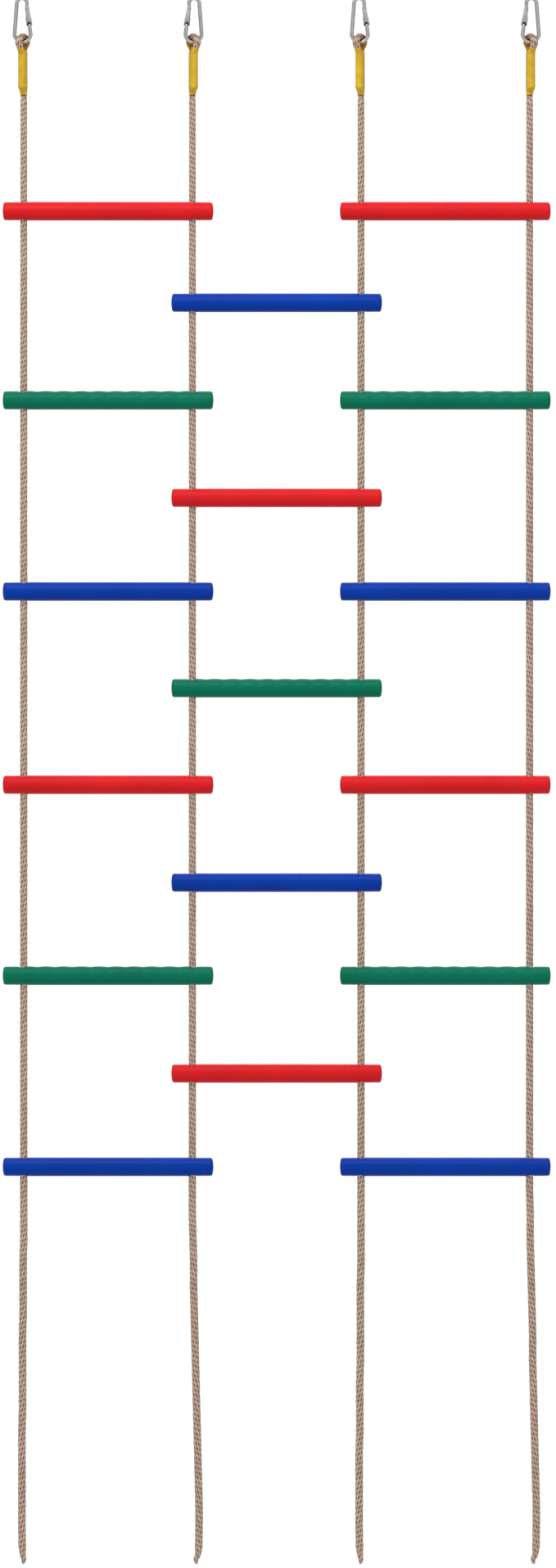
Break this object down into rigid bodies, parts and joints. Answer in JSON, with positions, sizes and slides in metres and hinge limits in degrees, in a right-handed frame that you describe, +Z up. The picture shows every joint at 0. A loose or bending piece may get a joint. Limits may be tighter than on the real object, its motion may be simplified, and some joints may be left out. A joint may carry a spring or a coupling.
{
  "type": "rope ladder",
  "caption": "Wide hanging rope ladder: staggered round plastic rungs on braided ropes, each with an eye on a snap hook and a free tail below.",
  "frame": {"origin": "midway along the hanging line, at the height of the inner top of the hooks' upper bows", "axes": "+Z up, +X along the rungs to the right as seen from the front, +Y to the back"},
  "size_m": [0.91, 0.0368, 2.605],
  "materials": {
    "rung_red": "satin moulded red plastic",
    "rung_green": "satin moulded green plastic with grip waves",
    "rung_blue": "satin moulded blue plastic",
    "rope": "braided beige rope",
    "zinc_steel": "zinc plated",
    "screw_steel": "zinc plated",
    "spring_steel": "plain",
    "sleeve_yellow": "shrunk yellow tubing"
  },
  "bodies": {
    "hooks": {"hook_1": "zinc_steel", "hook_2": "zinc_steel", "hook_3": "zinc_steel", "hook_4": "zinc_steel", "gate_pins": "zinc_steel"},
    "latch_1": {"gate_1": "zinc_steel", "gate_spring_1": "spring_steel"},
    "latch_2": {"gate_2": "zinc_steel", "gate_spring_2": "spring_steel"},
    "latch_3": {"gate_3": "zinc_steel", "gate_spring_3": "spring_steel"},
    "latch_4": {"gate_4": "zinc_steel", "gate_spring_4": "spring_steel"},
    "band_1": {"rung_left_1": "rung_red", "rung_right_1": "rung_red", "ropes_1": "rope", "rung_screws_1": "screw_steel", "rope_eyes": "rope", "eye_seizings": "spring_steel", "eye_sleeves": "sleeve_yellow"},
    "band_2": {"rung_middle_1": "rung_blue", "ropes_2": "rope", "rung_screws_2": "screw_steel"},
    "band_3": {"rung_left_2": "rung_green", "rung_right_2": "rung_green", "ropes_3": "rope", "rung_screws_3": "screw_steel"},
    "band_4": {"rung_middle_2": "rung_red", "ropes_4": "rope", "rung_screws_4": "screw_steel"},
    "band_5": {"rung_left_3": "rung_blue", "rung_right_3": "rung_blue", "ropes_5": "rope", "rung_screws_5": "screw_steel"},
    "band_6": {"rung_middle_3": "rung_green", "ropes_6": "rope", "rung_screws_6": "screw_steel"},
    "band_7": {"rung_left_4": "rung_red", "rung_right_4": "rung_red", "ropes_7": "rope", "rung_screws_7": "screw_steel"},
    "band_8": {"rung_middle_4": "rung_blue", "ropes_8": "rope", "rung_screws_8": "screw_steel"},
    "band_9": {"rung_left_5": "rung_green", "rung_right_5": "rung_green", "ropes_9": "rope", "rung_screws_9": "screw_steel"},
    "band_10": {"rung_middle_5": "rung_red", "ropes_10": "rope", "rung_screws_10": "screw_steel"},
    "band_11": {"rung_left_6": "rung_blue", "rung_right_6": "rung_blue", "ropes_11": "rope", "rung_screws_11": "screw_steel"},
    "loose_end_1": {"tail_1": "rope"},
    "loose_end_2": {"tail_2": "rope"},
    "loose_end_3": {"tail_3": "rope"},
    "loose_end_4": {"tail_4": "rope"}
  },
  "joints": [
    {"name": "swing", "type": "hinge", "parent": "hooks", "child": "band_1", "pos_m": [0, 0, -0.0695], "axis": [1, 0, 0], "range_deg": [-60, 60]},
    {"name": "fold_1", "type": "hinge", "parent": "band_1", "child": "band_2", "pos_m": [0, 0, -0.3895], "axis": [-1, 0, 0], "range_deg": [-120, 120]},
    {"name": "fold_2", "type": "hinge", "parent": "band_2", "child": "band_3", "pos_m": [0, 0, -0.5415], "axis": [1, 0, 0], "range_deg": [-120, 120]},
    {"name": "fold_3", "type": "hinge", "parent": "band_3", "child": "band_4", "pos_m": [0, 0, -0.7035], "axis": [-1, 0, 0], "range_deg": [-120, 120]},
    {"name": "fold_4", "type": "hinge", "parent": "band_4", "child": "band_5", "pos_m": [0, 0, -0.8655], "axis": [1, 0, 0], "range_deg": [-120, 120]},
    {"name": "fold_5", "type": "hinge", "parent": "band_5", "child": "band_6", "pos_m": [0, 0, -1.021], "axis": [-1, 0, 0], "range_deg": [-120, 120]},
    {"name": "fold_6", "type": "hinge", "parent": "band_6", "child": "band_7", "pos_m": [0, 0, -1.1815], "axis": [1, 0, 0], "range_deg": [-120, 120]},
    {"name": "fold_7", "type": "hinge", "parent": "band_7", "child": "band_8", "pos_m": [0, 0, -1.342], "axis": [-1, 0, 0], "range_deg": [-120, 120]},
    {"name": "fold_8", "type": "hinge", "parent": "band_8", "child": "band_9", "pos_m": [0, 0, -1.5045], "axis": [1, 0, 0], "range_deg": [-120, 120]},
    {"name": "fold_9", "type": "hinge", "parent": "band_9", "child": "band_10", "pos_m": [0, 0, -1.659], "axis": [-1, 0, 0], "range_deg": [-120, 120]},
    {"name": "fold_10", "type": "hinge", "parent": "band_10", "child": "band_11", "pos_m": [0, 0, -1.8215], "axis": [1, 0, 0], "range_deg": [-120, 120]},
    {"name": "tail_bend_1", "type": "hinge", "parent": "band_11", "child": "loose_end_1", "pos_m": [-0.42, 0, -1.9765], "axis": [-1, 0, 0], "range_deg": [-120, 120]},
    {"name": "tail_bend_2", "type": "hinge", "parent": "band_11", "child": "loose_end_2", "pos_m": [-0.14, 0, -1.9765], "axis": [-1, 0, 0], "range_deg": [-120, 120]},
    {"name": "tail_bend_3", "type": "hinge", "parent": "band_11", "child": "loose_end_3", "pos_m": [0.14, 0, -1.9765], "axis": [-1, 0, 0], "range_deg": [-120, 120]},
    {"name": "tail_bend_4", "type": "hinge", "parent": "band_11", "child": "loose_end_4", "pos_m": [0.42, 0, -1.9765], "axis": [-1, 0, 0], "range_deg": [-120, 120]},
    {"name": "gate_open_1", "type": "hinge", "parent": "hooks", "child": "latch_1", "pos_m": [-0.4144, 0, -0.013], "axis": [0, 1, 0], "range_deg": [0, 25], "stiffness_Nm_per_rad": 0.02, "springref_deg": -28.65},
    {"name": "gate_open_2", "type": "hinge", "parent": "hooks", "child": "latch_2", "pos_m": [-0.1456, 0, -0.013], "axis": [0, -1, 0], "range_deg": [0, 25], "stiffness_Nm_per_rad": 0.02, "springref_deg": -28.65},
    {"name": "gate_open_3", "type": "hinge", "parent": "hooks", "child": "latch_3", "pos_m": [0.1456, 0, -0.013], "axis": [0, 1, 0], "range_deg": [0, 25], "stiffness_Nm_per_rad": 0.02, "springref_deg": -28.65},
    {"name": "gate_open_4", "type": "hinge", "parent": "hooks", "child": "latch_4", "pos_m": [0.4144, 0, -0.013], "axis": [0, -1, 0], "range_deg": [0, 25], "stiffness_Nm_per_rad": 0.02, "springref_deg": -28.65}
  ]
}
